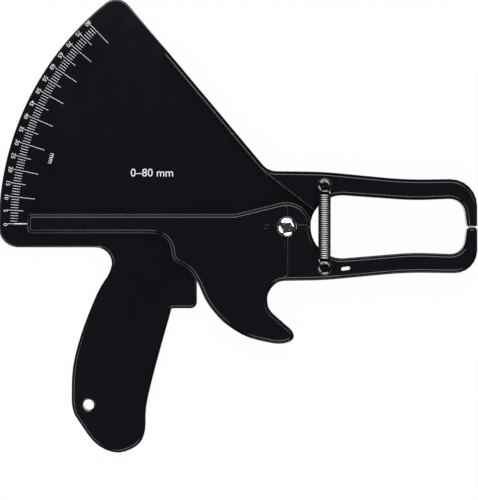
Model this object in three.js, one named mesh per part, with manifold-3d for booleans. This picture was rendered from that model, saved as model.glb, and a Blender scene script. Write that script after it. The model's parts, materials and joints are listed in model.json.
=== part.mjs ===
// Skinfold caliper, in millimetres, lying on its back with the front face up.
// The pivot is at X = Y = 0 while the pieces are made: X runs toward the jaws, Y toward the top of the
// scale and Z toward the front. The back of the handle is at Z = 0.
import * as THREE from 'three';
import { mergeVertices } from 'three/addons/utils/BufferGeometryUtils.js';
import Module from 'manifold-3d';

const wasm = await Module();
wasm.setup();

// Clearances and cutting
const running_gap = 0.35;
const seat_gap = 0.3;
const cut_overrun = 1;
const vertex_merge = 0.0001;
const sharpest_inset_share = 0.5;

// Frame: sector plate, handle and upper jaw arm in one moulding
const body_depth = 9;
const sector_thickness = 3.2;
const sector_radius = 160;
const sector_edge_degrees = 130;
const sector_edge_offset = 12;
const sector_strip_drop = 11.4;
const apex_round = 9;
const strip_round = 11;
const body_edge_chamfer = 1.4;
const plate_edge_chamfer = 0.7;
const arm_edge_chamfer = 1.8;
const chamfer_depth_share = 0.84;
const arm_root_fillet = 10;
const flange_width = 2.3;
const flange_reach = 118;
const flange_start = 26;
const flange_bend_reach = 33;
const flange_bend_round = 25;
const link_disc_radius = 19;
const pivot_boss_radius = 9;
const step_line_degrees = -38;

// Jaw arms, the same on both sides of the opening
const jaw_reach = 105.5;
const jaw_width = 5.6;
const jaw_face_gap = 0.3;
const jaw_corner_round = 2.1;
const jaw_face_round = 1.2;
const arm_depth = 10;
const upper_arm_rise = 30.9;
const lower_arm_drop = 30;
const opening_left = 13.3;
const opening_end_radius = 17.4;
const opening_end_degrees = 86;
// x in jaw reaches, y and corner radius in arm rises, from the opening's end out to the jaw
const arm_inner_shares = [
  [0.665, 0.473, 5],
  [0.928, 0.51, 0.3],
];
// the same, from the jaw back along the outside of the arm
const arm_outer_shares = [
  [1, 0.863, 0.68],
  [0.626, 0.845, 7],
  [0.19, 0.987, 6],
];

// Handle: x in handle reaches and y in handle drops, from the throat round the butt toward the block
const handle_reach = 119.5;
const handle_drop = 125.6;
const throat_shares = [
  [-0.813, -0.166],
  [-0.828, -0.209],
];
const handle_shares = [
  [-0.879, -0.29],
  [-0.949, -0.456],
  [-0.992, -0.61],
  [-1, -0.75],
  [-0.993, -0.812],
  [-0.969, -0.857],
  [-0.886, -0.961],
  [-0.787, -1],
  [-0.695, -0.968],
  [-0.659, -0.905],
  [-0.652, -0.79],
  [-0.61, -0.62],
];
const handle_neck_reach = 0.7;
const handle_neck_drop = 3.1;
const handle_throat_round = 9;
const handle_throat_share = 0.812;
const block_right = 49.8;
const block_drop = 45.3;
const block_left = 64;
const block_round = 3.5;
const block_notch_round = 1.2;
const block_top = 28.5;
const handle_rail_top = 3;
const handle_rail_lead = 11;
const link_half_width = 9;
const hanging_hole_radius = 3.05;
const hanging_hole_wall = 2.2;
const hanging_hole_chamfer = 0.6;
const hanging_hole_shares = [-0.921, -0.788];

// Handle back cover and its screws
const handle_wall = 3.2;
const cover_ledge = 2.4;
const cover_thickness = 2.6;
const handle_skin = 3.2;
const cover_screw_boss_radius = 3.6;
const cover_screw_head_radius = 2.8;
const cover_screw_head_depth = 1.6;
const cover_screw_shank_radius = 1.25;
const cover_screw_length = 6.1;
const cover_screw_sink = 0.15;
const cover_screw_shares = [
  [-0.81, -0.375],
  [-0.636, -0.462],
  [-0.929, -0.653],
  [-0.728, -0.9],
];

// Lever: pointer, trigger and lower jaw arm in one moulding
const lever_thickness = 5.6;
const lever_edge_chamfer = 1.8;
const lever_ledge_rise = 0.5;
const lever_boss_radius = 13.7;
const lever_boss_end_degrees = 12;
const pointer_reach = 143.6;
const pointer_top = 7.1;
const pointer_bottom = 3.6;
const pointer_corner_round = 2.1;
const pointer_shoulder_reach = 28.7;
const pointer_shoulder_round = 7;
const shoulder_rise_degrees = 13.7;
const tongue_reach = 151.6;
const tongue_root_width = 5.4;
const tongue_tip_width = 2.2;
const tongue_thickness = 1.1;
const tongue_line = 1.7;
const deep_arm_start = 31;
const slot_reach = 32.6;
const slot_drop = 23.1;
const slot_length = 5;
const slot_width = 1.8;
const slot_tilt_degrees = 8;
const groove_width = 1.7;
const groove_shift = 0.43;
const groove_depth = 0.35;
const groove_drop = 27.2;
const groove_rise = 11;
const groove_side = 12;
// x in web reaches, y in trigger drops, from the lower arm round the trigger to the pointer
const web_reach = 80;
const trigger_drop = 64.8;
const trigger_shares = [
  [-0.02, -0.463],
  [-0.067, -0.479],
  [-0.109, -0.529],
  [-0.133, -0.595],
  [-0.128, -0.677],
  [-0.102, -0.73],
  [-0.059, -0.78],
  [-0.011, -0.832],
  [0.034, -0.883],
  [0.05, -0.937],
  [0.024, -0.98],
  [-0.045, -1],
  [-0.138, -0.986],
  [-0.285, -0.935],
  [-0.42, -0.832],
  [-0.503, -0.728],
  [-0.561, -0.627],
  [-0.599, -0.523],
  [-0.627, -0.451],
  [-0.67, -0.374],
  [-0.722, -0.333],
  [-0.772, -0.295],
  [-0.794, -0.245],
  [-0.801, -0.185],
  [-0.82, -0.128],
  [-0.858, -0.084],
  [-0.916, -0.06],
];

// Pivot: screw, bearing sleeve, nut and thrust washer
const pivot_screw_radius = 2.5;
const pivot_head_radius = 5.65;
const pivot_head_height = 3.1;
const pivot_head_rim = 0.7;
const sleeve_wall = 1.3;
const thrust_washer_radius = 8.6;
const thrust_washer_thickness = 0.9;
const nut_across_corners = 9.2;
const nut_thickness = 4;
const nut_sink = 0.9;

// Spring, its posts and screws
const spring_axis_x = 20.7;
const spring_post_y = 22.6;
const spring_outer_diameter = 7.2;
const spring_wire = 0.76;
const spring_hook_length = 4.3;
const spring_turns = 29;
const spring_end_degrees = 22.5;
const spring_hook_open_degrees = 62;
const spring_screw_shank_radius = 1.5;
const spring_screw_head_radius = 4.1;
const spring_screw_head_height = 2.3;
const spring_screw_head_rim = 0.8;
const spring_screw_engagement = 6.5;
const spring_post_radius = 3.7;
const spring_washer_thickness = 0.6;
const spring_washer_radius = 3.8;
const spring_washer_play = 1.35;

// Cross recess of the screws, as shares of the head it is cut in
const recess_reach_share = 0.52;
const recess_width_share = 0.2;
const recess_depth_share = 0.55;

// Facets
const corner_steps = 6;
const handle_steps = 48;
const sector_arc_steps = 30;
const opening_end_steps = 18;
const step_end_steps = 8;
const cover_steps = 44;
const trigger_steps = 78;
const lever_boss_steps = 14;
const slot_end_steps = 6;
const small_bore_sides = 12;
const bore_sides = 24;
const head_sides = 28;
const nut_sides = 6;
const head_steps = 4;
const curl_steps = 8;
const hook_bend_steps = 8;
const hook_ring_steps = 14;
const wire_sides = 5;

// Levels, from the back plane up, and the places that follow from the sizes
const lever_back = body_depth + running_gap;
const lever_front = lever_back + lever_thickness;
const arm_back = lever_front - arm_depth;
const sleeve_radius = pivot_screw_radius + seat_gap + sleeve_wall;
const sleeve_top = lever_front + seat_gap;
const spring_radius = (spring_outer_diameter - spring_wire) / 2;
const spring_level = lever_front + running_gap + spring_outer_diameter / 2;
const spring_washer_top = spring_level - spring_wire / 2 - seat_gap;
const spring_post_top = spring_washer_top - spring_washer_thickness - seat_gap;
const spring_head_bottom = spring_level + spring_wire / 2 + seat_gap;
const spring_coil_length = 2 * (spring_post_y - spring_hook_length);
const handle_throat_reach = handle_throat_share * handle_reach;
const handle_rail_left = handle_throat_reach + handle_rail_lead;

// Colours of the real pieces
const black_plastic = { color: 0x131318, roughness: 0.28, metalness: 0 };
const lever_plastic = { color: 0x15151a, roughness: 0.26, metalness: 0 };
const chrome = { color: 0xd4d2cc, roughness: 0.14, metalness: 1 };
const spring_steel = { color: 0xb9b7b0, roughness: 0.3, metalness: 1 };
const black_steel = { color: 0x1d1d20, roughness: 0.3, metalness: 0.7 };
const zinc_steel = { color: 0xa6a8aa, roughness: 0.4, metalness: 1 };
const white_nylon = { color: 0xe6e4dc, roughness: 0.6, metalness: 0 };

// Plane geometry

const radians = THREE.MathUtils.degToRad;
const pivot = new THREE.Vector2(0, 0);

function polar(centre, radius, degrees) {
  const angle = radians(degrees);
  return new THREE.Vector2(centre.x + radius * Math.cos(angle), centre.y + radius * Math.sin(angle));
}

function arcRun(centre, radius, from_degrees, to_degrees, steps) {
  const points = [];
  for (let step = 0; step <= steps; step += 1) {
    points.push(polar(centre, radius, from_degrees + (to_degrees - from_degrees) * step / steps));
  }
  return points;
}

function corner(x, y, round = 0) {
  return { point: new THREE.Vector2(x, y), round };
}

// The arc that rounds one corner; it takes at most half of a side whose other end is rounded as well
function roundedCorner(before, { point: at, round }, after) {
  const inward = before.point.clone().sub(at).normalize();
  const outward = after.point.clone().sub(at).normalize();
  const half_angle = Math.acos(THREE.MathUtils.clamp(inward.dot(outward), -1, 1)) / 2;
  const roomToward = (other) => other.point.distanceTo(at) / (other.round > 0 ? 2 : 1);
  const room = Math.min(roomToward(before), roomToward(after));
  const tangent = Math.min(round / Math.tan(half_angle), room);
  const middle = inward.clone().add(outward).normalize();
  const centre = at.clone().addScaledVector(middle, tangent / Math.cos(half_angle));
  const start = at.clone().addScaledVector(inward, tangent).sub(centre);
  const sweep = (Math.PI - 2 * half_angle) * Math.sign(outward.cross(inward));
  const points = [];
  for (let step = 0; step <= corner_steps; step += 1) {
    points.push(start.clone().rotateAround(pivot, sweep * step / corner_steps).add(centre));
  }
  return points;
}

// An open run of straight sides whose inner corners are rounded
function roundRun(corners) {
  const points = [corners[0].point];
  for (let index = 1; index < corners.length - 1; index += 1) {
    const at = corners[index];
    points.push(...(at.round > 0 ? roundedCorner(corners[index - 1], at, corners[index + 1]) : [at.point]));
  }
  points.push(corners[corners.length - 1].point);
  return points;
}

function placed(shares, reach, drop) {
  return shares.map(([x_share, y_share]) => new THREE.Vector2(x_share * reach, y_share * drop));
}

function splineRun(points, steps) {
  return new THREE.SplineCurve(points).getPoints(steps);
}

// The closed outline moved inward by a distance, for walls and covers
function insetOutline(points, distance) {
  const turn = Math.sign(THREE.ShapeUtils.area(points));
  return points.map((point, index) => {
    const before = points[(index + points.length - 1) % points.length];
    const after = points[(index + 1) % points.length];
    const first = point.clone().sub(before).normalize();
    const second = after.clone().sub(point).normalize();
    const across = new THREE.Vector2(-first.y - second.y, first.x + second.x).normalize();
    const stretch = 1 / Math.max(across.dot(new THREE.Vector2(-first.y, first.x)), sharpest_inset_share);
    return point.clone().addScaledVector(across, turn * distance * stretch);
  });
}

// Drops a point that repeats the one before it
function cleaned(points) {
  return points.filter((point, index) => {
    const before = points[(index + points.length - 1) % points.length];
    return point.distanceTo(before) > vertex_merge;
  });
}

// Solids

function toSolid(geometry) {
  const bare = geometry.clone();
  bare.deleteAttribute('normal');
  bare.deleteAttribute('uv');
  const merged = mergeVertices(bare, vertex_merge);
  return new wasm.Manifold(new wasm.Mesh({
    numProp: 3,
    vertProperties: new Float32Array(merged.attributes.position.array),
    triVerts: new Uint32Array(merged.index.array),
  }));
}

function toGeometry(solid) {
  const mesh = solid.getMesh();
  const geometry = new THREE.BufferGeometry();
  geometry.setAttribute('position', new THREE.BufferAttribute(mesh.vertProperties, mesh.numProp));
  geometry.setIndex(new THREE.BufferAttribute(mesh.triVerts, 1));
  geometry.computeVertexNormals();
  return geometry;
}

// A plate between two levels, with both of its edges chamfered
function slab(outline, bottom, top, chamfer = 0) {
  const chamfer_depth = chamfer * chamfer_depth_share;
  const geometry = new THREE.ExtrudeGeometry(new THREE.Shape(cleaned(outline)), {
    depth: top - bottom - 2 * chamfer_depth,
    steps: 1,
    bevelEnabled: chamfer > 0,
    bevelThickness: chamfer_depth,
    bevelSize: chamfer,
    bevelOffset: -chamfer,
    bevelSegments: 1,
  });
  geometry.translate(0, 0, bottom + chamfer_depth);
  return toSolid(geometry);
}

function disc(x, y, radius, bottom, top, sides = bore_sides) {
  const geometry = new THREE.CylinderGeometry(radius, radius, top - bottom, sides);
  geometry.rotateX(Math.PI / 2);
  geometry.translate(x, y, (bottom + top) / 2);
  return toSolid(geometry);
}

function block(x_from, x_to, y_from, y_to, z_from, z_to) {
  const geometry = new THREE.BoxGeometry(x_to - x_from, y_to - y_from, z_to - z_from);
  geometry.translate((x_from + x_to) / 2, (y_from + y_to) / 2, (z_from + z_to) / 2);
  return toSolid(geometry);
}

// A turned piece about the Z axis, from pairs of radius and level that run from the bottom to the top
function turned(profile, sides) {
  const points = profile.map(([radius, level]) => new THREE.Vector2(radius, level));
  const geometry = new THREE.LatheGeometry(points, sides);
  geometry.rotateX(Math.PI / 2);
  return toSolid(geometry);
}

function ring(x, y, inner, outer, bottom, top) {
  return disc(x, y, outer, bottom, top, head_sides)
    .subtract(disc(x, y, inner, bottom - cut_overrun, top + cut_overrun));
}

// A screw standing on its shank, with a domed head and a cross recess
function domedScrew(x, y, shank_radius, shank_bottom, head_radius, head_bottom, head_rim, head_height) {
  const profile = [
    [0, shank_bottom],
    [shank_radius, shank_bottom],
    [shank_radius, head_bottom],
    [head_radius, head_bottom],
  ];
  const dome = head_height - head_rim;
  for (let step = 0; step <= head_steps; step += 1) {
    const angle = Math.PI / 2 * step / head_steps;
    profile.push([head_radius * Math.cos(angle), head_bottom + head_rim + dome * Math.sin(angle)]);
  }
  profile[profile.length - 1][0] = 0;
  const top = head_bottom + head_height;
  const reach = head_radius * recess_reach_share;
  const half_width = head_radius * recess_width_share / 2;
  const floor = top - head_height * recess_depth_share;
  const screw = turned(profile, head_sides)
    .subtract(block(-reach, reach, -half_width, half_width, floor, top + cut_overrun))
    .subtract(block(-half_width, half_width, -reach, reach, floor, top + cut_overrun));
  return screw.translate([x, y, 0]);
}

function piece(name, solid, looks) {
  const geometry = solid.isBufferGeometry ? solid : toGeometry(solid);
  const mesh = new THREE.Mesh(geometry, new THREE.MeshStandardMaterial(looks));
  mesh.name = name;
  return mesh;
}

// Outlines that the frame and the lever share

const opening_centre = new THREE.Vector2(opening_left + opening_end_radius, 0);

// The inside of the arm, the jaw and the outside of the arm; side is 1 above the opening and -1 below
function armCorners(rise, side, face = jaw_face_gap / 2, face_round = jaw_corner_round) {
  const at = ([x_share, y_share, round_share]) =>
    corner(x_share * jaw_reach, side * y_share * rise, round_share * rise);
  return [
    ...arm_inner_shares.map(at),
    corner(jaw_reach - jaw_width, side * face, face_round),
    corner(jaw_reach, side * face, face_round),
    ...arm_outer_shares.map(at),
  ];
}

function edgePoint(reach, offset) {
  const along = radians(sector_edge_degrees);
  return new THREE.Vector2(
    reach * Math.cos(along) + offset * Math.sin(along),
    reach * Math.sin(along) - offset * Math.cos(along),
  );
}

function edgeCorner(reach, offset, round = 0) {
  const point = edgePoint(reach, offset);
  return corner(point.x, point.y, round);
}

// Where the sector's straight edge would meet the top line of the upper arm
function armRoot() {
  const along = radians(sector_edge_degrees);
  const reach = (upper_arm_rise + sector_edge_offset * Math.cos(along)) / Math.sin(along);
  return edgeCorner(reach, sector_edge_offset, arm_root_fillet);
}

// Centre of the round where the sector's arc meets a straight side
function arcRoundCentre(round, side_offset, along_degrees) {
  const radius = sector_radius - round;
  const offset = side_offset - round;
  const reach = Math.sqrt(radius * radius - offset * offset);
  const along = radians(along_degrees);
  return new THREE.Vector2(
    reach * Math.cos(along) + offset * Math.sin(along),
    reach * Math.sin(along) - offset * Math.cos(along),
  );
}

// The handle from under its throat round the butt up to the neck under the block
function handlePoints() {
  const neck = new THREE.Vector2(-block_left - handle_neck_reach, -block_drop - handle_neck_drop);
  return [...placed(handle_shares, handle_reach, handle_drop), neck];
}

// From the sector strip down the back of the handle, round its butt and up to the block's hidden top
function gripSide() {
  const throat = placed(throat_shares, handle_reach, handle_drop);
  const grip = splineRun([...throat, ...handlePoints()], handle_steps);
  const last = grip[grip.length - 1];
  return [
    ...roundRun([
      corner(-handle_rail_left, -sector_strip_drop),
      corner(-handle_throat_reach, -sector_strip_drop, handle_throat_round),
      corner(grip[0].x, grip[0].y),
    ]),
    ...grip.slice(1, -1),
    ...roundRun([
      corner(last.x, last.y),
      corner(-block_left, -block_drop, block_notch_round),
      corner(-block_right, -block_drop, block_round),
      corner(-block_right, -block_top),
    ]),
  ];
}

// Frame

function sectorOutline() {
  const apex = arcRoundCentre(apex_round, sector_edge_offset, sector_edge_degrees);
  const foot = new THREE.Vector2(
    -Math.sqrt((sector_radius - strip_round) ** 2 - (sector_strip_drop - strip_round) ** 2),
    strip_round - sector_strip_drop,
  );
  const apex_degrees = THREE.MathUtils.radToDeg(Math.atan2(apex.y, apex.x));
  const foot_degrees = THREE.MathUtils.radToDeg(Math.atan2(foot.y, foot.x));
  const foot_turn = foot_degrees < 0 ? foot_degrees + 360 : foot_degrees;
  const [jaw_side] = armCorners(upper_arm_rise, 1).slice(-1);
  return [
    ...roundRun([jaw_side, armRoot(), edgeCorner(flange_reach, sector_edge_offset)]),
    ...arcRun(apex, apex_round, sector_edge_degrees - 90, apex_degrees, corner_steps),
    ...arcRun(pivot, sector_radius, apex_degrees, foot_turn, sector_arc_steps),
    ...arcRun(foot, strip_round, foot_turn, 270, corner_steps),
    new THREE.Vector2(-handle_throat_reach, -sector_strip_drop),
    new THREE.Vector2(-block_right, -block_top),
    new THREE.Vector2(0, -link_disc_radius + cut_overrun),
    new THREE.Vector2(opening_left, 0),
    new THREE.Vector2(opening_centre.x, opening_centre.y),
  ];
}

// The thick part of the body: handle, block and the link to the pivot boss
function handleOutline() {
  return [
    new THREE.Vector2(0, link_half_width),
    new THREE.Vector2(-block_left, handle_rail_top),
    new THREE.Vector2(-handle_rail_left, handle_rail_top),
    ...gripSide(),
    new THREE.Vector2(0, -link_half_width),
  ];
}

function openingOutline() {
  const inner = (side) => armCorners(upper_arm_rise, side).slice(0, arm_inner_shares.length);
  const start = polar(opening_centre, opening_end_radius, opening_end_degrees);
  const far = corner(jaw_reach - jaw_width, 0);
  return [
    ...arcRun(opening_centre, opening_end_radius, 360 - opening_end_degrees, opening_end_degrees,
      opening_end_steps),
    ...roundRun([corner(start.x, start.y), ...inner(1), far]),
    ...roundRun([far, ...inner(-1).reverse(), corner(start.x, -start.y)]),
  ];
}

// Where a line from a point, at an angle, first meets the opening's round end
function meetsOpeningEnd(from, along_degrees) {
  const along = polar(pivot, 1, along_degrees);
  const to_centre = opening_centre.clone().sub(from);
  const reach = to_centre.dot(along);
  const miss = to_centre.cross(along);
  return from.clone().addScaledVector(along, reach - Math.sqrt(opening_end_radius ** 2 - miss ** 2));
}

// The raised part: flange along the sector's edge, the step beside the lever, and the upper jaw arm
function upperArmOutline(inner_offset, face, face_round) {
  const bend = edgeCorner(flange_bend_reach, inner_offset, flange_bend_round);
  const step_end = meetsOpeningEnd(bend.point, step_line_degrees);
  const step_end_degrees = THREE.MathUtils.radToDeg(
    Math.atan2(step_end.y - opening_centre.y, step_end.x - opening_centre.x),
  );
  const end = polar(opening_centre, opening_end_radius, opening_end_degrees);
  return [
    ...roundRun([
      corner(end.x, end.y),
      ...armCorners(upper_arm_rise, 1, face, face_round),
      armRoot(),
      edgeCorner(flange_reach, sector_edge_offset),
      edgeCorner(flange_reach, inner_offset),
      bend,
      corner(step_end.x, step_end.y),
    ]),
    ...arcRun(opening_centre, opening_end_radius, step_end_degrees, opening_end_degrees, step_end_steps)
      .slice(1, -1),
  ];
}

// Its outside edges are chamfered, while the step and the jaw's face are cut straight down
function upperArm() {
  const margin = 2 * arm_edge_chamfer;
  const inner_offset = sector_edge_offset - flange_width;
  const face = jaw_face_gap / 2;
  const wide = upperArmOutline(inner_offset - margin, face - margin, jaw_corner_round);
  const exact = upperArmOutline(inner_offset, face, jaw_face_round);
  return slab(wide, arm_back, lever_front, arm_edge_chamfer).intersect(slab(exact, arm_back, lever_front));
}

function flangeOutline() {
  const inner_offset = sector_edge_offset - flange_width;
  return [
    edgePoint(flange_start, inner_offset),
    edgePoint(flange_start, sector_edge_offset),
    edgePoint(flange_reach - flange_width, sector_edge_offset),
    edgePoint(flange_reach - flange_width, inner_offset),
  ];
}

const hanging_hole = new THREE.Vector2(
  hanging_hole_shares[0] * handle_reach,
  hanging_hole_shares[1] * handle_drop,
);
const cover_screw_places = placed(cover_screw_shares, handle_reach, handle_drop);
const cavity_top = body_depth - handle_skin;
const rebate_top = cover_thickness + seat_gap;
const cover_screw_tip = cover_screw_sink + cover_screw_length;

// A smooth closed line through the handle's points, moved in by the wall
function coverOutline() {
  const inner = insetOutline(handlePoints(), handle_wall + seat_gap);
  const places = inner.map((point) => new THREE.Vector3(point.x, point.y, 0));
  const line = new THREE.CatmullRomCurve3(places, true);
  return line.getPoints(cover_steps).slice(1).map((point) => new THREE.Vector2(point.x, point.y));
}

// The pocket in the back of the handle, with the bosses that stay in it
function handlePocket() {
  const boss = (place, radius) => disc(place.x, place.y, radius, rebate_top, cavity_top + cut_overrun);
  let cavity = slab(insetOutline(coverOutline(), cover_ledge), 0, cavity_top)
    .subtract(boss(hanging_hole, hanging_hole_radius + hanging_hole_wall));
  for (const place of cover_screw_places) {
    cavity = cavity.subtract(boss(place, cover_screw_boss_radius));
  }
  return cavity.add(slab(insetOutline(coverOutline(), -seat_gap), -cut_overrun, rebate_top));
}

// The funnel that breaks the hanging hole's edge in the front face
function hangingHoleChamfer() {
  const mouth = hanging_hole_radius + hanging_hole_chamfer;
  return [
    [0, body_depth - hanging_hole_chamfer],
    [hanging_hole_radius, body_depth - hanging_hole_chamfer],
    [mouth, body_depth],
    [mouth, body_depth + cut_overrun],
    [0, body_depth + cut_overrun],
  ];
}

function springPost(side) {
  return disc(spring_axis_x, side * spring_post_y, spring_post_radius, lever_back, spring_post_top);
}

function springScrewHole(side) {
  const radius = spring_screw_shank_radius + seat_gap;
  const bottom = spring_post_top - spring_screw_engagement - seat_gap;
  return disc(spring_axis_x, side * spring_post_y, radius, bottom, spring_post_top + cut_overrun);
}

const nut_bottom = nut_sink;
const nut_top = nut_bottom + nut_thickness;

function frameShell() {
  const opening = slab(openingOutline(), -cut_overrun, lever_front + cut_overrun);
  const hole = (place, radius) => disc(place.x, place.y, radius, -cut_overrun, body_depth + cut_overrun);
  const nut_radius = nut_across_corners / 2 + seat_gap;
  let frame = slab(sectorOutline(), body_depth - sector_thickness, body_depth, plate_edge_chamfer)
    .add(disc(0, 0, link_disc_radius, body_depth - sector_thickness, body_depth, head_sides))
    .add(slab(handleOutline(), 0, body_depth, body_edge_chamfer))
    .add(disc(0, 0, pivot_boss_radius, 0, body_depth - sector_thickness / 2, head_sides))
    .subtract(opening)
    .add(upperArm())
    .add(slab(flangeOutline(), 0, body_depth))
    .add(springPost(1))
    .subtract(handlePocket())
    .subtract(hole(hanging_hole, hanging_hole_radius))
    .subtract(turned(hangingHoleChamfer(), bore_sides).translate([hanging_hole.x, hanging_hole.y, 0]))
    .subtract(springScrewHole(1))
    .subtract(hole(pivot, pivot_screw_radius + seat_gap))
    .subtract(disc(0, 0, nut_radius, -cut_overrun, nut_top + seat_gap, nut_sides));
  const screw_hole_radius = cover_screw_shank_radius + seat_gap;
  const screw_hole_top = cover_screw_tip + seat_gap;
  for (const place of cover_screw_places) {
    const screw_hole = disc(place.x, place.y, screw_hole_radius, 0, screw_hole_top, small_bore_sides);
    frame = frame.subtract(screw_hole);
  }
  return frame;
}

// Countersunk profile from the head up to the tip, grown by a margin for the hole that takes it
function coverScrewProfile(margin) {
  const head_level = cover_screw_sink * (1 - Math.sign(margin)) - margin;
  return [
    [0, head_level],
    [cover_screw_head_radius + margin, head_level],
    [cover_screw_head_radius + margin, cover_screw_sink],
    [cover_screw_shank_radius + margin, cover_screw_sink + cover_screw_head_depth],
    [cover_screw_shank_radius + margin, cover_screw_tip],
    [0, cover_screw_tip],
  ];
}

function handleBackCover() {
  let cover = slab(coverOutline(), 0, cover_thickness)
    .subtract(disc(hanging_hole.x, hanging_hole.y, hanging_hole_radius, -cut_overrun, body_depth));
  for (const place of cover_screw_places) {
    const screw_hole = turned(coverScrewProfile(seat_gap), bore_sides).translate([place.x, place.y, 0]);
    cover = cover.subtract(screw_hole);
  }
  return cover;
}

function coverScrew(place) {
  const reach = cover_screw_head_radius * recess_reach_share;
  const half_width = cover_screw_head_radius * recess_width_share / 2;
  const floor = cover_screw_sink + cover_screw_head_depth * recess_depth_share;
  return turned(coverScrewProfile(0), bore_sides)
    .subtract(block(-reach, reach, -half_width, half_width, -cut_overrun, floor))
    .subtract(block(-half_width, half_width, -reach, reach, -cut_overrun, floor))
    .translate([place.x, place.y, 0]);
}

// Lever

function leverOutline() {
  const end = polar(opening_centre, opening_end_radius, -opening_end_degrees);
  const trigger = placed(trigger_shares, web_reach, trigger_drop);
  const notch = trigger[0];
  const shoulder = corner(-pointer_shoulder_reach, pointer_top, pointer_shoulder_round);
  const boss_start = polar(pivot, lever_boss_radius, 90 + shoulder_rise_degrees);
  const boss_end = polar(pivot, lever_boss_radius, lever_boss_end_degrees);
  const opening_start = THREE.MathUtils.radToDeg(
    Math.atan2(boss_end.y - opening_centre.y, boss_end.x - opening_centre.x),
  );
  const web_end = new THREE.Vector2(-web_reach, -pointer_bottom);
  const boss = arcRun(pivot, lever_boss_radius, 90 + shoulder_rise_degrees, lever_boss_end_degrees,
    lever_boss_steps);
  const opening = arcRun(opening_centre, opening_end_radius, opening_start, 360 - opening_end_degrees,
    lever_boss_steps);
  return [
    ...roundRun([corner(end.x, end.y), ...armCorners(lower_arm_drop, -1), corner(notch.x, notch.y)]),
    ...splineRun([...trigger, web_end], trigger_steps).slice(1),
    ...roundRun([
      corner(-web_reach, -pointer_bottom),
      corner(-pointer_reach, -pointer_bottom, pointer_corner_round),
      corner(-pointer_reach, pointer_top, pointer_corner_round),
      shoulder,
      corner(boss_start.x, boss_start.y),
    ]).slice(1),
    ...boss.slice(1),
    ...opening.slice(1, -1),
  ];
}

function tongue() {
  const root = tongue_root_width / 2;
  const tip = tongue_tip_width / 2;
  return slab([
    new THREE.Vector2(-pointer_reach + lever_edge_chamfer, tongue_line - root),
    new THREE.Vector2(-pointer_reach + lever_edge_chamfer, tongue_line + root),
    new THREE.Vector2(-tongue_reach, tongue_line + tip),
    new THREE.Vector2(-tongue_reach, tongue_line - tip),
  ], lever_back + lever_edge_chamfer / 2, lever_back + lever_edge_chamfer / 2 + tongue_thickness);
}

// A narrow ledge runs round the front of the lever at the foot of its chamfer
function leverSlab(bottom) {
  const chamfer_foot = lever_front - lever_edge_chamfer * chamfer_depth_share;
  return slab(leverOutline(), bottom, lever_front, lever_edge_chamfer)
    .add(slab(leverOutline(), chamfer_foot - lever_ledge_rise, chamfer_foot + lever_ledge_rise));
}

// The lower arm beyond the frame is as deep as the upper arm, so that the jaws match
function deepArm() {
  return leverSlab(arm_back).intersect(block(
    deep_arm_start, jaw_reach + cut_overrun,
    -trigger_drop, cut_overrun,
    arm_back - cut_overrun, lever_front + cut_overrun,
  ));
}

function armSlot() {
  const half = slot_length / 2 - slot_width / 2;
  const outline = [
    ...arcRun(new THREE.Vector2(half, 0), slot_width / 2, -90, 90, slot_end_steps),
    ...arcRun(new THREE.Vector2(-half, 0), slot_width / 2, 90, 270, slot_end_steps),
  ];
  return slab(outline, arm_back - cut_overrun, lever_front + cut_overrun)
    .rotate([0, 0, slot_tilt_degrees])
    .translate([slot_reach, -slot_drop, 0]);
}

// Fine cross of grooves on the lever's face about the pivot
function faceGrooves() {
  const half = groove_width / 2;
  const floor = lever_front - groove_depth;
  const top = lever_front + cut_overrun;
  return block(-half - groove_shift, half - groove_shift, -groove_drop, groove_rise, floor, top)
    .add(block(-groove_side, groove_side, -half, half, floor, top));
}

function lever() {
  const washer_bore = thrust_washer_radius + seat_gap;
  const washer_top = body_depth + 2 * seat_gap + thrust_washer_thickness;
  return leverSlab(lever_back)
    .add(deepArm())
    .add(tongue())
    .add(springPost(-1))
    .subtract(springScrewHole(-1))
    .subtract(armSlot())
    .subtract(faceGrooves())
    .subtract(disc(0, 0, sleeve_radius + seat_gap, 0, lever_front + cut_overrun))
    .subtract(disc(0, 0, washer_bore, 0, washer_top, head_sides));
}

// Pivot pieces

function pivotScrew() {
  const head_bottom = sleeve_top + seat_gap;
  return domedScrew(0, 0, pivot_screw_radius, nut_bottom, pivot_head_radius, head_bottom,
    pivot_head_rim, pivot_head_height);
}

function pivotSleeve() {
  return ring(0, 0, pivot_screw_radius + seat_gap, sleeve_radius, body_depth + seat_gap, sleeve_top);
}

function pivotNut() {
  return disc(0, 0, nut_across_corners / 2, nut_bottom, nut_top, nut_sides)
    .subtract(disc(0, 0, pivot_screw_radius + seat_gap, 0, nut_top + cut_overrun));
}

function thrustWasher() {
  const bottom = body_depth + seat_gap;
  const top = bottom + thrust_washer_thickness;
  return ring(0, 0, sleeve_radius + seat_gap, thrust_washer_radius, bottom, top);
}

// Spring

const spring_hook_radius = spring_screw_shank_radius + seat_gap + spring_wire / 2;

// The coil from the lower end to the upper end, about its own axis; the ends lie on opposite sides
function coilPoints() {
  const from_degrees = 180 + spring_end_degrees;
  const to_degrees = 360 * (spring_turns + 1) - spring_end_degrees;
  const steps = Math.round((to_degrees - from_degrees) / 360 * curl_steps);
  const length = spring_coil_length - spring_wire;
  const points = [];
  for (let step = 0; step <= steps; step += 1) {
    const share = step / steps;
    const angle = radians(from_degrees + (to_degrees - from_degrees) * share);
    points.push(new THREE.Vector3(
      spring_radius * Math.cos(angle),
      length * (share - 1 / 2),
      spring_radius * Math.sin(angle),
    ));
  }
  return points;
}

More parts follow.
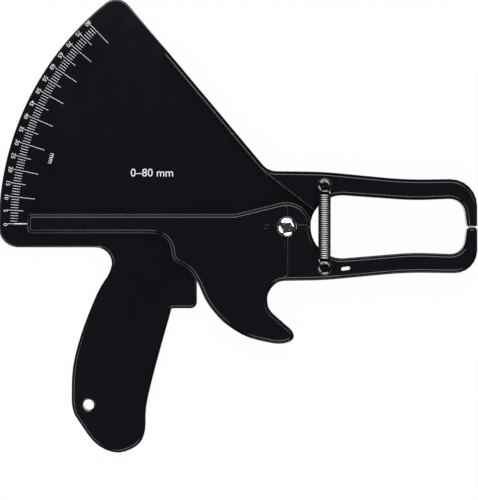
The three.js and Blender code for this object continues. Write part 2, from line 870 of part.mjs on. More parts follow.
// The hook that leaves the coil's end and rings the screw; side is 1 at the top and -1 at the bottom
function hookPoints(coil_end, coil_before, side) {
  const side_x = Math.sign(coil_end.x);
  const near = new THREE.Vector3(side_x * spring_hook_radius, side * spring_post_y, 0);
  const leaving = coil_end.clone().sub(coil_before).setLength(spring_radius / 2);
  const arriving = new THREE.Vector3(0, side * spring_radius, 0);
  const bend = new THREE.CubicBezierCurve3(
    coil_end,
    coil_end.clone().add(leaving),
    near.clone().sub(arriving),
    near,
  );
  const ring_degrees = 270 - spring_hook_open_degrees;
  const ring_points = arcRun(pivot, spring_hook_radius, 0, ring_degrees, hook_ring_steps).slice(1);
  return [
    ...bend.getPoints(hook_bend_steps).slice(1),
    ...ring_points.map((point) => new THREE.Vector3(side_x * point.x, side * (spring_post_y + point.y), 0)),
  ];
}

function springPath() {
  const coil = coilPoints();
  const last = coil.length - 1;
  const lower = hookPoints(coil[0], coil[1], -1).reverse();
  const upper = hookPoints(coil[last], coil[last - 1], 1);
  const place = new THREE.Vector3(spring_axis_x, 0, spring_level);
  return [...lower, ...coil, ...upper].map((point) => point.add(place));
}

// Least clear distance between stretches of wire that aren't neighbours along it
function leastWireGap(path) {
  const apart = curl_steps / 2;
  let least = Infinity;
  for (let first = 0; first < path.length; first += 1) {
    for (let second = first + apart; second < path.length; second += 1) {
      least = Math.min(least, path[first].distanceTo(path[second]));
    }
  }
  return least - spring_wire;
}

// One closed tube of round wire along the points
function wireGeometry(path, radius, sides) {
  const positions = [];
  const indices = [];
  const tangentAt = (index) => path[Math.min(index + 1, path.length - 1)].clone()
    .sub(path[Math.max(index - 1, 0)]).normalize();
  let normal = new THREE.Vector3(0, 0, 1);
  for (let index = 0; index < path.length; index += 1) {
    const tangent = tangentAt(index);
    normal = normal.sub(tangent.clone().multiplyScalar(normal.dot(tangent))).normalize();
    const across = tangent.clone().cross(normal);
    for (let side = 0; side < sides; side += 1) {
      const angle = 2 * Math.PI * side / sides;
      const point = path[index].clone()
        .addScaledVector(normal, radius * Math.cos(angle))
        .addScaledVector(across, radius * Math.sin(angle));
      positions.push(point.x, point.y, point.z);
    }
  }
  for (let index = 0; index < path.length - 1; index += 1) {
    for (let side = 0; side < sides; side += 1) {
      const next = (side + 1) % sides;
      const near = index * sides;
      const far = near + sides;
      indices.push(near + side, near + next, far + side);
      indices.push(near + next, far + next, far + side);
    }
  }
  const last = (path.length - 1) * sides;
  for (let side = 1; side < sides - 1; side += 1) {
    indices.push(0, side + 1, side);
    indices.push(last, last + side, last + side + 1);
  }
  const geometry = new THREE.BufferGeometry();
  geometry.setAttribute('position', new THREE.Float32BufferAttribute(positions, 3));
  geometry.setIndex(indices);
  geometry.computeVertexNormals();
  return geometry;
}

function tensionSpring() {
  const path = springPath();
  console.log(`tension_spring least gap to itself ${leastWireGap(path).toFixed(2)} mm`);
  return wireGeometry(path, spring_wire / 2, wire_sides);
}

function springScrew(side) {
  return domedScrew(
    spring_axis_x, side * spring_post_y,
    spring_screw_shank_radius, spring_post_top - spring_screw_engagement,
    spring_screw_head_radius, spring_head_bottom, spring_screw_head_rim, spring_screw_head_height,
  );
}

function springWasher(side) {
  return ring(
    spring_axis_x, side * spring_post_y,
    spring_screw_shank_radius + spring_washer_play, spring_washer_radius,
    spring_washer_top - spring_washer_thickness, spring_washer_top,
  );
}

// Assembly

const caliper = new THREE.Group();
caliper.name = 'skinfold_caliper';

const cover_screws = cover_screw_places.map(
  (place, index) => piece(`cover_screw_${index + 1}`, coverScrew(place), black_steel),
);

caliper.add(
  piece('frame_shell', frameShell(), black_plastic),
  piece('handle_back_cover', handleBackCover(), black_plastic),
  ...cover_screws,
  piece('pivot_screw', pivotScrew(), chrome),
  piece('pivot_sleeve', pivotSleeve(), zinc_steel),
  piece('pivot_nut', pivotNut(), zinc_steel),
  piece('thrust_washer', thrustWasher(), white_nylon),
  piece('lever', lever(), lever_plastic),
  piece('tension_spring', tensionSpring(), spring_steel),
  piece('upper_spring_screw', springScrew(1), black_steel),
  piece('lower_spring_screw', springScrew(-1), black_steel),
  piece('upper_spring_washer', springWasher(1), zinc_steel),
  piece('lower_spring_washer', springWasher(-1), zinc_steel),
);

// The finished part stands with the middle of its plan over the origin
const extent = new THREE.Box3().setFromObject(caliper);
const middle = extent.getCenter(new THREE.Vector3());
caliper.position.set(-middle.x, -middle.y, -extent.min.z);

export default caliper;
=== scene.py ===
"""Looks of the black plastic skinfold caliper: finishes, printed scale, spring wire and screw heads."""
import json
import math

import bmesh
import bpy
from mathutils import Matrix, Vector


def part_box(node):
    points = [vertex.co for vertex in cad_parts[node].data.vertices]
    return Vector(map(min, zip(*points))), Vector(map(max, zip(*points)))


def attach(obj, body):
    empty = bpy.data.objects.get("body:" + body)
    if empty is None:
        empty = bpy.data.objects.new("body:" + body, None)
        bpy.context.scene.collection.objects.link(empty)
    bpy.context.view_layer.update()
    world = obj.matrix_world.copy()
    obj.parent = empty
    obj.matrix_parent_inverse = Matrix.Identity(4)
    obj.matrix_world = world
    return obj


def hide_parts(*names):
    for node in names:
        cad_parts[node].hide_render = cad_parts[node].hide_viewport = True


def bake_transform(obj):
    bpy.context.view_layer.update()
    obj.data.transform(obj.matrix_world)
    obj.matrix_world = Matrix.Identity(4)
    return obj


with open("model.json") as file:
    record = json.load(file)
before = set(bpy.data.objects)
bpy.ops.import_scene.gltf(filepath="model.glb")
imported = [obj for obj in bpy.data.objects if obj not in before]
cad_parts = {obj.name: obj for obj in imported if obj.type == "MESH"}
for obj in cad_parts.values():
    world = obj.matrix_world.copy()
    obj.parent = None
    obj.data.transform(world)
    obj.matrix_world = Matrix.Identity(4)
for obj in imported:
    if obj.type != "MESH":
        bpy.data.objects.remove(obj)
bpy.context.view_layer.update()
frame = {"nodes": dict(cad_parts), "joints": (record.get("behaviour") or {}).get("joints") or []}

MM = 0.001
UP = Vector((0, 0, 1))
NODES = frame["nodes"]
JOINTS = {joint["name"]: joint for joint in frame["joints"]}
PIVOT = Vector(JOINTS["lever_squeeze"]["pos_m"])

# Colours, linear
BODY_BLACK = (0.0031, 0.0024, 0.0045)
LEVER_BLACK = (0.0037, 0.0030, 0.0050)
INK_WHITE = (0.88, 0.88, 0.91)
CHROME = (0.82, 0.81, 0.79)
SPRING_STEEL = (0.76, 0.75, 0.71)
# Painted shade: near-black colour painted on the spring wire's sides, underside and the gaps between its
# coils, while the crests facing out and up stay bright steel
SPRING_PAINTED_SHADE = (0.012, 0.011, 0.010)
BLACK_NICKEL = (0.115, 0.115, 0.12)
BLACK_OXIDE = (0.020, 0.020, 0.023)
ZINC = (0.56, 0.57, 0.59)
NYLON = (0.76, 0.74, 0.68)
FLOOR_WHITE = (0.86, 0.86, 0.87)
ROOM_LOW = (0.025, 0.025, 0.025)
ROOM_HIGH = (0.05, 0.05, 0.056)

# Surfaces
PLASTIC_IOR = 1.7
PLASTIC_POLISH_SHARES = (0.85, 1.25)
RIPPLE_SCALE = 420
RIPPLE_STRENGTH = 0.04
RIPPLE_HEIGHT = 0.02 * MM
# Low IOR of the painted shade on the spring wire, which dims its reflections there
SPRING_SHADE_IOR = 1.15
OXIDE_METALLIC = 0.55
NYLON_GLOW = 0.15
NYLON_GLOW_REACH = (0.5 * MM, 0.5 * MM, 0.4 * MM)

# Values between which a noise mostly stays
NOISE_LOW = 0.3
NOISE_HIGH = 0.7

# Sockets of a Mix node for colours, which share their names with its other sockets
MIX_FACTOR = 0
MIX_FIRST = 6
MIX_SECOND = 7
MIX_RESULT = 2

# Levels of the printed faces, from the back plane up
PLATE_TOP = 9.0 * MM
TONGUE_TOP = 11.35 * MM
INK_HEIGHT = 0.05 * MM

# Printed scale, whose radii grow with each millimetre of its reading
SCALE_CENTRE = Vector((PIVOT.x, PIVOT.y, PLATE_TOP))
SCALE_ZERO_DEGREES = 0.66
SCALE_STEP_DEGREES = 0.565
SCALE_LAST = 80
TICK_WIDTH = 0.25 * MM
TICK_RADII = {1: (149.2 * MM, 153.4 * MM), 5: (146.3 * MM, 154.9 * MM), 10: (140.4 * MM, 154.9 * MM)}
RADIUS_GROWTH = 0.022 * MM
NUMERAL_STEP = 5
NUMERAL_RADIUS = 156.3 * MM
NUMERAL_HEIGHT = 2.35 * MM
NUMERAL_WIDTH_SHARE = 1.02
NUMERAL_LAG_DEGREES = 0.18

# Words on the plate, placed from the pivot
UNIT_RADIUS = 136.0 * MM
UNIT_DEGREES = 16.2
UNIT_HEIGHT = 2.9 * MM
RANGE_PLACE = Vector((-74.7, 29.9, 0)) * MM
RANGE_HEIGHT = 4.6 * MM

# Lettering: the share of a text's nominal size that its capitals stand high, and the steps in its curves
CAPITAL_SHARE = 0.73
LETTER_STEPS = 3

# Index line on the pointer's tongue, placed from the pivot
INDEX_SPAN = (-151.2 * MM, -143.4 * MM)
INDEX_RISE = 1.7 * MM
INDEX_WIDTH = 0.6 * MM

# Rounded edges of the mouldings
FRAME_EDGE_ROUND = 0.24 * MM
LEVER_EDGE_ROUND = 0.28 * MM
EDGE_STEPS = 3
INNER_EDGE_SHARE = 0.35
EDGE_DEGREES = 28
WELD = 0.002 * MM

# The frame's high step beside the lever: its edge is found by level, place and steepness
STEP_EDGE_ROUND = 0.8 * MM
STEP_DEGREES = 60
STEP_TOP = 14.95 * MM
STEP_SLACK = 0.1 * MM
STEP_LEFT = 19.5 * MM

# Spring wire
SPRING_POST = Vector(JOINTS["spring_swing"]["pos_m"])
SPRING_MIDDLE = Vector((SPRING_POST.x, PIVOT.y, SPRING_POST.z))
SPRING_DIAMETER = 7.2 * MM
WIRE_DIAMETER = 1.15 * MM
COIL_RADIUS = (SPRING_DIAMETER - WIRE_DIAMETER) / 2
COIL_TURNS = 30
COIL_HALF_LENGTH = 18.1 * MM
HOOK_RADIUS = 2.15 * MM
HOOK_TURN_DEGREES = 215
TURN_STEPS = 24
WIRE_SIDES = 12
# Range of the wire's facing out and up over which the painted shade gives way to bright steel on the
# crests
SPRING_SHADE_TO_CREST_SHARES = (0.74, 0.92)

# Screws: the pivot's head clears its sleeve, and the other two heads clear the spring's hooks
COVER_SCREWS = 4
SEAT_GAP = 0.3 * MM
HOOK_GAP = 0.065 * MM
HEAD_SIDES = 96
DOME_STEPS = 16
RECESS_FLOOR_SHARE = 0.45
RECESS_DEPTH_SHARE = 0.62
SHARP_DEGREES = 32
PIVOT_HEAD = {
    "shank_radius": 2.5 * MM,
    "bottom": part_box("pivot_sleeve")[1].z + SEAT_GAP,
    "rim": 0.7 * MM,
    "height": 3.1 * MM,
    "recess_reach_share": 0.56,
    "recess_width_share": 0.22,
}
SPRING_HEAD = {
    "shank_radius": 1.5 * MM,
    "bottom": JOINTS["spring_swing"]["pos_m"][2] + WIRE_DIAMETER / 2 + HOOK_GAP,
    "rim": 0.8 * MM,
    "height": 2.3 * MM,
    "recess_reach_share": 0.78,
    "recess_width_share": 0.24,
}

# Stage, in metres
FLOOR_SIZE = 12
FLOOR_DROP = 0.0002
FLOOR_ROUGHNESS = 0.9
FLOOR_GLOW_SHARE = 0.98
ROOM_HIGH_PLACE = 0.9
LAMP_DISTANCE = 0.85
LAMPS = {
    "top_softbox": {"azimuth": 90, "from_vertical": 42, "size": (1.05, 0.66), "radiance": 3.3},
    "left_softbox": {"azimuth": 206, "from_vertical": 42, "size": (0.70, 0.44), "radiance": 3.0},
    "right_softbox": {"azimuth": 281, "from_vertical": 50, "size": (0.72, 0.46), "radiance": 3.8},
    "side_softbox": {"azimuth": 27, "from_vertical": 38, "size": (0.48, 0.14), "radiance": 4.0},
}

# Camera, straight above the caliper as in the photograph
CAMERA_HEIGHT = 1.2
CAMERA_PLACE = (0.86 * MM, -13.31 * MM, CAMERA_HEIGHT)
VIEW_WIDTH = 277.8 * MM
SENSOR_MM = 36.0


# Shader building

def new_material(name):
    material = bpy.data.materials.new(name)
    material.use_nodes = True
    tree = material.node_tree
    return material, tree, tree.nodes["Principled BSDF"]


def add_node(tree, kind, **values):
    node = tree.nodes.new(kind)
    for key, value in values.items():
        if key in node.inputs:
            node.inputs[key].default_value = value
        else:
            setattr(node, key, value)
    return node


# A Math node whose terms are numbers or the outputs of other nodes
def calculation(tree, operation, *terms):
    node = add_node(tree, "ShaderNodeMath", operation=operation)
    for socket, term in zip(node.inputs, terms):
        if isinstance(term, bpy.types.NodeSocket):
            tree.links.new(term, socket)
        else:
            socket.default_value = term
    return node.outputs["Value"]


def noise(tree, scale, detail, roughness=0.5):
    place = add_node(tree, "ShaderNodeTexCoord")
    texture = add_node(tree, "ShaderNodeTexNoise", Scale=scale, Detail=detail, Roughness=roughness)
    tree.links.new(place.outputs["Object"], texture.inputs["Vector"])
    return texture.outputs["Fac"]


def ramp(tree, factor, stops):
    node = add_node(tree, "ShaderNodeValToRGB")
    for element, (place, colour) in zip(node.color_ramp.elements, stops):
        element.position = place
        element.color = (*colour, 1)
    tree.links.new(factor, node.inputs["Fac"])
    return node.outputs["Color"]


def remap(tree, factor, low, high, from_low=NOISE_LOW, from_high=NOISE_HIGH):
    node = add_node(tree, "ShaderNodeMapRange")
    node.inputs["From Min"].default_value = from_low
    node.inputs["From Max"].default_value = from_high
    node.inputs["To Min"].default_value = low
    node.inputs["To Max"].default_value = high
    tree.links.new(factor, node.inputs["Value"])
    return node.outputs["Result"]


def shade(colour, share):
    return tuple(channel * share for channel in colour)


def tone(tree, colour, scale, dark, light=1.0, detail=4, dark_at=NOISE_LOW, light_at=NOISE_HIGH):
    stops = [(dark_at, shade(colour, dark)), (light_at, shade(colour, light))]
    return ramp(tree, noise(tree, scale, detail), stops)


def polish(tree, low, high, scale, detail=3, roughness=0.5):
    return remap(tree, noise(tree, scale, detail, roughness), low, high)


def bump(tree, height, strength, distance):
    node = add_node(tree, "ShaderNodeBump", Strength=strength, Distance=distance)
    tree.links.new(height, node.inputs["Height"])
    return node.outputs["Normal"]


def dress(tree, surface, colour, roughness):
    tree.links.new(colour, surface.inputs["Base Color"])
    tree.links.new(roughness, surface.inputs["Roughness"])


# Materials, with the scales of their noises per metre

def gloss_plastic(name, colour, roughness):
    material, tree, surface = new_material(name)
    surface.inputs["IOR"].default_value = PLASTIC_IOR
    low, high = (roughness * share for share in PLASTIC_POLISH_SHARES)
    finish = polish(tree, low, high, scale=90, detail=6, roughness=0.62)
    dress(tree, surface, tone(tree, colour, scale=28, dark=0.85, light=1.2, detail=5), finish)
    ripple = bump(tree, noise(tree, RIPPLE_SCALE, detail=3), RIPPLE_STRENGTH, RIPPLE_HEIGHT)
    tree.links.new(ripple, surface.inputs["Normal"])
    return material


def metal(name, colour, roughness, spread, grain):
    material, tree, surface = new_material(name)
    surface.inputs["Metallic"].default_value = 1.0
    finish = polish(tree, roughness * (1 - spread), roughness * (1 + spread), scale=grain * 2)
    dress(tree, surface, tone(tree, colour, scale=grain, dark=0.85), finish)
    return material


# Spring steel with painted shade: metal only on the crests facing out of the coil and up, near-black
# non-metal on the sides, underside and between the coils
def rubbed_steel(name):
    material, tree, surface = new_material(name)
    surface.inputs["IOR"].default_value = SPRING_SHADE_IOR
    facing = add_node(tree, "ShaderNodeAttribute", attribute_name="facing_out")
    lit_crest = remap(tree, facing.outputs["Fac"], 0.0, 1.0, *SPRING_SHADE_TO_CREST_SHARES)
    tree.links.new(lit_crest, surface.inputs["Metallic"])
    colour = add_node(tree, "ShaderNodeMix", data_type="RGBA")
    colour.inputs[MIX_FIRST].default_value = (*SPRING_PAINTED_SHADE, 1)
    tree.links.new(lit_crest, colour.inputs[MIX_FACTOR])
    tree.links.new(tone(tree, SPRING_STEEL, scale=700, dark=0.82), colour.inputs[MIX_SECOND])
    dress(tree, surface, colour.outputs[MIX_RESULT], polish(tree, low=0.5, high=0.62, scale=1200))
    return material


def black_oxide(name):
    material, tree, surface = new_material(name)
    surface.inputs["Metallic"].default_value = OXIDE_METALLIC
    finish = polish(tree, low=0.2, high=0.34, scale=900)
    dress(tree, surface, tone(tree, BLACK_OXIDE, scale=500, dark=0.7, light=1.5), finish)
    return material


def nylon(name):
    material, tree, surface = new_material(name)
    surface.inputs["Subsurface Weight"].default_value = NYLON_GLOW
    surface.inputs["Subsurface Radius"].default_value = NYLON_GLOW_REACH
    finish = polish(tree, low=0.45, high=0.6, scale=700)
    dress(tree, surface, tone(tree, NYLON, scale=200, dark=0.93), finish)
    return material


def ink(name):
    material, tree, surface = new_material(name)
    finish = polish(tree, low=0.42, high=0.6, scale=1500)
    dress(tree, surface, tone(tree, INK_WHITE, scale=900, dark=0.85, dark_at=0.35, light_at=0.6), finish)
    return material


body_plastic = gloss_plastic("body_plastic", BODY_BLACK, roughness=0.13)
lever_plastic = gloss_plastic("lever_plastic", LEVER_BLACK, roughness=0.12)
chrome = metal("pivot_chrome", CHROME, roughness=0.05, spread=0.4, grain=300)
spring_steel = rubbed_steel("spring_steel")
black_nickel = metal("black_nickel", BLACK_NICKEL, roughness=0.10, spread=0.4, grain=500)
black_screw = black_oxide("black_screw")
zinc_steel = metal("zinc_steel", ZINC, roughness=0.34, spread=0.25, grain=400)
white_nylon = nylon("white_nylon")
white_ink = ink("white_ink")

FINISHES = [
    (body_plastic, ["frame_shell", "handle_back_cover"]),
    (lever_plastic, ["lever"]),
    (chrome, ["pivot_screw"]),
    (spring_steel, ["tension_spring"]),
    (black_nickel, ["upper_spring_screw", "lower_spring_screw"]),
    (black_screw, [f"cover_screw_{number + 1}" for number in range(COVER_SCREWS)]),
    (zinc_steel, ["pivot_sleeve", "pivot_nut", "upper_spring_washer", "lower_spring_washer"]),
    (white_nylon, ["thrust_washer"]),
]


def wear_material(piece, material):
    piece.data.materials.clear()
    piece.data.materials.append(material)


for finish, wearers in FINISHES:
    for wearer in wearers:
        wear_material(NODES[wearer], finish)


# Edges of the mouldings

# The high step's upper edge takes the full width, other outer edges take outer_share of it
def marked_edges_group(outer_share):
    group = bpy.data.node_groups.new("marked_edges", "GeometryNodeTree")
    group.interface.new_socket("Geometry", in_out="INPUT", socket_type="NodeSocketGeometry")
    group.interface.new_socket("Geometry", in_out="OUTPUT", socket_type="NodeSocketGeometry")
    bend = add_node(group, "GeometryNodeInputMeshEdgeAngle").outputs["Signed Angle"]
    outer = calculation(group, "GREATER_THAN", bend, math.radians(EDGE_DEGREES))
    inner = calculation(group, "LESS_THAN", bend, -math.radians(EDGE_DEGREES))
    steep = calculation(group, "GREATER_THAN", bend, math.radians(STEP_DEGREES))
    place = add_node(group, "GeometryNodeInputPosition").outputs["Position"]
    split = add_node(group, "ShaderNodeSeparateXYZ")
    group.links.new(place, split.inputs["Vector"])
    at_top = calculation(group, "COMPARE", split.outputs["Z"], STEP_TOP, STEP_SLACK)
    beyond = calculation(group, "GREATER_THAN", split.outputs["X"], STEP_LEFT)
    step = calculation(group, "MULTIPLY", steep, calculation(group, "MULTIPLY", at_top, beyond))
    outer_part = calculation(group, "MULTIPLY", outer, outer_share)
    inner_added = calculation(group, "MULTIPLY_ADD", inner, outer_share * INNER_EDGE_SHARE, outer_part)
    weight = calculation(group, "MULTIPLY_ADD", step, 1 - outer_share, inner_added)
    entry = add_node(group, "NodeGroupInput")
    weld = add_node(group, "GeometryNodeMergeByDistance", Distance=WELD)
    smooth = add_node(group, "GeometryNodeSetShadeSmooth")
    mark = add_node(group, "GeometryNodeStoreNamedAttribute", domain="EDGE", Name="bevel_weight_edge")
    leave = add_node(group, "NodeGroupOutput")
    chain = [entry, weld, smooth, mark, leave]
    for node, following in zip(chain, chain[1:]):
        group.links.new(node.outputs["Geometry"], following.inputs["Geometry"])
    group.links.new(weight, mark.inputs["Value"])
    return group


def soften(piece, width, outer_share=1.0):
    piece.modifiers.new("marked", "NODES").node_group = marked_edges_group(outer_share)
    edges = piece.modifiers.new("edges", "BEVEL")
    edges.width = width
    edges.segments = EDGE_STEPS
    edges.limit_method = "WEIGHT"
    edges.use_clamp_overlap = False
    edges.face_strength_mode = "FSTR_ALL"
    shading = piece.modifiers.new("shading", "WEIGHTED_NORMAL")
    shading.mode = "FACE_AREA"
    shading.use_face_influence = True


soften(NODES["frame_shell"], STEP_EDGE_ROUND, FRAME_EDGE_ROUND / STEP_EDGE_ROUND)
soften(NODES["handle_back_cover"], FRAME_EDGE_ROUND)
soften(NODES["lever"], LEVER_EDGE_ROUND)


# Making pieces

# The function build fills the mesh, and takes what follows it here
def mesh_piece(name, material, body, build, *details):
    mesh = bpy.data.meshes.new(name)
    builder = bmesh.new()
    build(builder, *details)
    bmesh.ops.recalc_face_normals(builder, faces=builder.faces)
    builder.to_mesh(mesh)
    builder.free()
    piece = bpy.data.objects.new(name, mesh)
    bpy.context.scene.collection.objects.link(piece)
    wear_material(piece, material)
    if body:
        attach(piece, body)
    return piece


def evaluated_mesh(piece):
    return bpy.data.meshes.new_from_object(piece.evaluated_get(bpy.context.evaluated_depsgraph_get()))


# Either ring may be a single point
def join_rings(builder, ring, following, smooth=False):
    for side in range(max(len(ring), len(following))):
        after = side + 1
        corners = [ring[side % len(ring)], ring[after % len(ring)]]
        corners += [following[after % len(following)], following[side % len(following)]]
        builder.faces.new(list(dict.fromkeys(corners))).smooth = smooth


def solid_between(builder, lower_points, upper_points):
    lower = [builder.verts.new(point) for point in lower_points]
    upper = [builder.verts.new(point) for point in upper_points]
    builder.faces.new(lower)
    builder.faces.new(upper)
    join_rings(builder, lower, upper)


def smooth_but_sharp_edges(builder):
    for face in builder.faces:
        face.smooth = True
    for edge in builder.edges:
        edge.smooth = not edge.is_manifold or edge.calc_face_angle() < math.radians(SHARP_DEGREES)


# Printed scale

def ray(degrees):
    angle = math.radians(degrees)
    return Vector((math.cos(angle), math.sin(angle), 0))


def scale_ray(millimetres, lag_degrees=0.0):
    return ray(180 - SCALE_ZERO_DEGREES - SCALE_STEP_DEGREES * millimetres + lag_degrees)


def bar(builder, start, end, width):
    along = (end - start).normalized()
    across = Vector((-along.y, along.x, 0)) * width / 2
    lower = (start - across, start + across, end + across, end - across)
    solid_between(builder, lower, [point + UP * INK_HEIGHT for point in lower])


def lettering(builder, words, place, upward, height, width_share=1.0):
    curve = bpy.data.curves.new("lettering", "FONT")
    curve.body = words
    curve.size = height / CAPITAL_SHARE
    curve.align_x = "CENTER"
    curve.align_y = "CENTER"
    curve.extrude = INK_HEIGHT / 2
    curve.resolution_u = LETTER_STEPS
    carrier = bpy.data.objects.new("lettering", curve)
    bpy.context.scene.collection.objects.link(carrier)
    mesh = evaluated_mesh(carrier)
    rightward = upward.cross(UP)
    turn = Matrix((rightward * width_share, upward, UP)).transposed().to_4x4()
    mesh.transform(Matrix.Translation(place + UP * INK_HEIGHT / 2) @ turn)
    builder.from_mesh(mesh)
    bpy.data.objects.remove(carrier)


def scale_ticks(builder):
    for millimetre in range(SCALE_LAST + 1):
        kind = max(step for step in TICK_RADII if millimetre % step == 0)
        inner, outer = (radius + RADIUS_GROWTH * millimetre for radius in TICK_RADII[kind])
        along = scale_ray(millimetre)
        bar(builder, SCALE_CENTRE + along * inner, SCALE_CENTRE + along * outer, TICK_WIDTH)


def scale_numerals(builder):
    for millimetre in range(0, SCALE_LAST + 1, NUMERAL_STEP):
        along = scale_ray(millimetre, NUMERAL_LAG_DEGREES)
        place = SCALE_CENTRE + along * (NUMERAL_RADIUS + RADIUS_GROWTH * millimetre)
        lettering(builder, str(millimetre), place, -along, NUMERAL_HEIGHT, NUMERAL_WIDTH_SHARE)


def plate_notes(builder):
    along = ray(180 - UNIT_DEGREES)
    lettering(builder, "mm", SCALE_CENTRE + along * UNIT_RADIUS, -along, UNIT_HEIGHT)
    lettering(builder, "0–80 mm", SCALE_CENTRE + RANGE_PLACE, Vector((0, 1, 0)), RANGE_HEIGHT)


def index_line(builder):
    start, end = (Vector((PIVOT.x + reach, PIVOT.y + INDEX_RISE, TONGUE_TOP)) for reach in INDEX_SPAN)
    bar(builder, start, end, INDEX_WIDTH)


mesh_piece("scale_ticks", white_ink, "frame", scale_ticks)
mesh_piece("scale_numerals", white_ink, "frame", scale_numerals)
mesh_piece("plate_notes", white_ink, "frame", plate_notes)
mesh_piece("index_line", white_ink, "lever", index_line)


# Screws with a turned, domed head and a cross recess

def turned(builder, profile):
    rows = []
    for radius, level in profile:
        sides = HEAD_SIDES if radius else 1
        angles = [2 * math.pi * side / sides for side in range(sides)]
        points = [(radius * math.cos(angle), radius * math.sin(angle), level) for angle in angles]
        rows.append([builder.verts.new(point) for point in points])
    for row, following in zip(rows, rows[1:]):
        join_rings(builder, row, following)


def screw_profile(head, radius, shank_bottom):
    bottom = head["bottom"]
    rim = head["rim"]
    rise = head["height"] - rim
    shank_radius = head["shank_radius"]
    profile = [(0, shank_bottom), (shank_radius, shank_bottom), (shank_radius, bottom), (radius, bottom)]
    for step in range(DOME_STEPS):
        angle = math.pi / 2 * step / DOME_STEPS
        profile.append((radius * math.cos(angle), bottom + rim + rise * math.sin(angle)))
    return [*profile, (0, bottom + head["height"])]


def recess_arm(builder, half_x, half_y, floor, top):
    ends = []
    for level, share in ((floor, RECESS_FLOOR_SHARE), (top, 1.0)):
        x = half_x * share
        y = half_y * share
        ends.append([(-x, -y, level), (x, -y, level), (x, y, level), (-x, y, level)])
    solid_between(builder, *ends)


def finished_screw(builder, screw, place):
    builder.from_mesh(evaluated_mesh(screw))
    bmesh.ops.remove_doubles(builder, verts=builder.verts, dist=WELD)
    smooth_but_sharp_edges(builder)
    builder.transform(place)


def domed_screw(node, material, body, head, turn_degrees):
    low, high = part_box(node)
    middle = (low + high) / 2
    radius = (high.x - low.x) / 2
    screw = mesh_piece(node + "_turned", material, None, turned, screw_profile(head, radius, low.z))
    top = head["bottom"] + head["height"]
    floor = top - head["height"] * RECESS_DEPTH_SHARE
    reach = radius * head["recess_reach_share"]
    half_width = radius * head["recess_width_share"] / 2
    for half_x, half_y in ((reach, half_width), (half_width, reach)):
        cut = screw.modifiers.new("recess", "BOOLEAN")
        cut.object = mesh_piece(node + "_recess", material, None, recess_arm, half_x, half_y, floor, top)
        cut.operation = "DIFFERENCE"
        cut.solver = "EXACT"
    turn = Matrix.Rotation(math.radians(turn_degrees), 4, "Z")
    place = Matrix.Translation((middle.x, middle.y, 0)) @ turn
    piece = mesh_piece(node + "_domed", material, body, finished_screw, screw, place)
    for cut in screw.modifiers:
        bpy.data.objects.remove(cut.object)
    bpy.data.objects.remove(screw)
    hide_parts(node)


domed_screw("pivot_screw", chrome, "frame", PIVOT_HEAD, turn_degrees=30)
domed_screw("upper_spring_screw", black_nickel, "frame", SPRING_HEAD, turn_degrees=6)
domed_screw("lower_spring_screw", black_nickel, "lever", SPRING_HEAD, turn_degrees=14)


# Spring: close coil with a hook round each screw

def bezier(start, leaving, arriving, end, t):
    return (
        start * (1 - t) ** 3 + leaving * 3 * t * (1 - t) ** 2
        + arriving * 3 * t * t * (1 - t) + end * t ** 3
    )


# The upper hook lies on side 1, the lower one on side -1
def hook(coil_end, coil_before, side):
    post_y = side * (SPRING_POST.y - PIVOT.y)
    near = Vector((side * HOOK_RADIUS, post_y, 0))
    leaving = coil_end + (coil_end - coil_before).normalized() * COIL_RADIUS / 2
    arriving = near - Vector((0, side * COIL_RADIUS, 0))
    lead_steps = TURN_STEPS // 2
    points = [
        bezier(coil_end, leaving, arriving, near, step / lead_steps)
        for step in range(1, lead_steps + 1)
    ]
    ring_steps = round(HOOK_TURN_DEGREES / 360 * TURN_STEPS)
    for step in range(1, ring_steps + 1):
        angle = math.radians(HOOK_TURN_DEGREES) * step / ring_steps
        points.append(Vector((
            side * HOOK_RADIUS * math.cos(angle),
            post_y + side * HOOK_RADIUS * math.sin(angle),
            0,
        )))
    return points


# The half turn more than COIL_TURNS brings the coil's two ends to opposite sides
def coil_points():
    steps = COIL_TURNS * TURN_STEPS
    points = []
    for step in range(steps + 1):
        share = step / steps
        angle = math.pi + 2 * math.pi * (COIL_TURNS + 1 / 2) * share
        points.append(Vector((
            COIL_RADIUS * math.cos(angle),
            COIL_HALF_LENGTH * (2 * share - 1),
            COIL_RADIUS * math.sin(angle),
        )))
    return points


# The wire's points, and for each the way that faces out of the spring
def spring_path():
    coil = coil_points()
    lower_hook = hook(coil[0], coil[1], -1)
    upper_hook = hook(coil[-1], coil[-2], 1)
    outward = [Vector((point.x, 0, point.z)).normalized() for point in coil]
    outward = [UP] * len(lower_hook) + outward + [UP] * len(upper_hook)
    return [point + SPRING_MIDDLE for point in [*reversed(lower_hook), *coil, *upper_hook]], outward


def wire(builder, path, outward):
    facing_out = builder.verts.layers.float.new("facing_out")
    normal = UP
    rings = []
    for index, point in enumerate(path):
        tangent = (path[min(index + 1, len(path) - 1)] - path[max(index - 1, 0)]).normalized()
        normal = (normal - tangent * normal.dot(tangent)).normalized()
        across = tangent.cross(normal)
        ring = []
        for side in range(WIRE_SIDES):
            angle = 2 * math.pi * side / WIRE_SIDES
            away = normal * math.cos(angle) + across * math.sin(angle)
            vertex = builder.verts.new(point + away * WIRE_DIAMETER / 2)
            # How far the wire faces out of the coil and up; the spring material paints shade where this
            # is low
            vertex[facing_out] = away.dot(outward[index]) * max(0, outward[index].z)
            ring.append(vertex)
        rings.append(ring)
    for ring, following in zip(rings, rings[1:]):
        join_rings(builder, ring, following, smooth=True)
    builder.faces.new(rings[0])
    builder.faces.new(rings[-1])


def tension_spring():
    spring = mesh_piece("wound_spring", spring_steel, None, wire, *spring_path())
    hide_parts("tension_spring")
    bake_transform(spring)


tension_spring()


# Stage

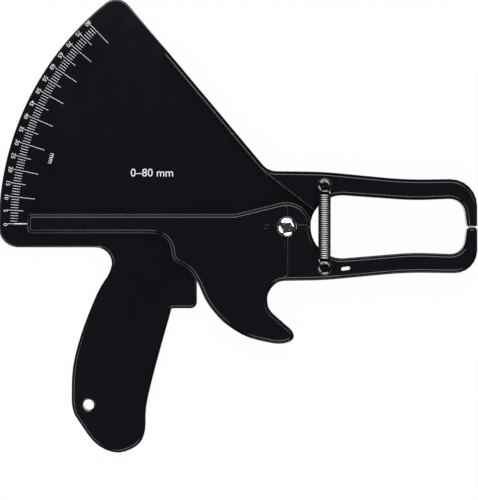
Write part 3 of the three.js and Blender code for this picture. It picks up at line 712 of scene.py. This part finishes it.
# The floor shows its plain white to the camera and in reflections, and keeps the caliper's shadow
def floor():
    bpy.ops.mesh.primitive_plane_add(size=FLOOR_SIZE, location=(0, 0, -FLOOR_DROP))
    plane = bpy.context.object
    plane.name = "floor"
    material, tree, surface = new_material("floor")
    surface.inputs["Base Color"].default_value = (*FLOOR_WHITE, 1)
    surface.inputs["Roughness"].default_value = FLOOR_ROUGHNESS
    surface.inputs["Specular IOR Level"].default_value = 0.0
    seen = add_node(tree, "ShaderNodeLightPath").outputs
    direct = calculation(tree, "MAXIMUM", seen["Is Camera Ray"], seen["Is Glossy Ray"])
    shown = calculation(tree, "MAXIMUM", direct, seen["Is Transmission Ray"])
    glow = add_node(tree, "ShaderNodeEmission", Strength=1.0)
    mix = add_node(tree, "ShaderNodeMixShader")
    tree.links.new(calculation(tree, "MULTIPLY", shown, FLOOR_GLOW_SHARE), mix.inputs["Fac"])
    tree.links.new(surface.outputs["BSDF"], mix.inputs[1])
    tree.links.new(glow.outputs["Emission"], mix.inputs[2])
    tree.links.new(mix.outputs["Shader"], tree.nodes["Material Output"].inputs["Surface"])
    plane.data.materials.append(material)


def softbox(name, azimuth, from_vertical, size, radiance):
    tilt = math.radians(from_vertical)
    turn = math.radians(azimuth)
    toward = Vector((math.sin(tilt) * math.cos(turn), math.sin(tilt) * math.sin(turn), math.cos(tilt)))
    lamp = bpy.data.lights.new(name, "AREA")
    lamp.shape = "ELLIPSE"
    lamp.size, lamp.size_y = size
    lamp.energy = radiance * math.pi * (math.pi * size[0] * size[1] / 4)
    light = bpy.data.objects.new(name, lamp)
    light.location = toward * LAMP_DISTANCE
    light.rotation_euler = toward.to_track_quat("Z", "Y").to_euler()
    bpy.context.scene.collection.objects.link(light)


def studio_world():
    world = bpy.data.worlds.new("studio")
    bpy.context.scene.world = world
    world.use_nodes = True
    tree = world.node_tree
    place = add_node(tree, "ShaderNodeTexCoord")
    split = add_node(tree, "ShaderNodeSeparateXYZ")
    tree.links.new(place.outputs["Generated"], split.inputs["Vector"])
    sky = ramp(tree, split.outputs["Z"], [(0.0, ROOM_LOW), (ROOM_HIGH_PLACE, ROOM_HIGH)])
    tree.links.new(sky, tree.nodes["Background"].inputs["Color"])


def camera_above():
    data = bpy.data.cameras.new("camera")
    data.sensor_width = SENSOR_MM
    data.lens = SENSOR_MM * (CAMERA_HEIGHT - PLATE_TOP) / VIEW_WIDTH
    camera = bpy.data.objects.new("camera", data)
    camera.location = CAMERA_PLACE
    bpy.context.scene.collection.objects.link(camera)
    bpy.context.scene.camera = camera


floor()
studio_world()
for name, settings in LAMPS.items():
    softbox(name, **settings)
camera_above()
bpy.context.scene.view_settings.view_transform = "Standard"
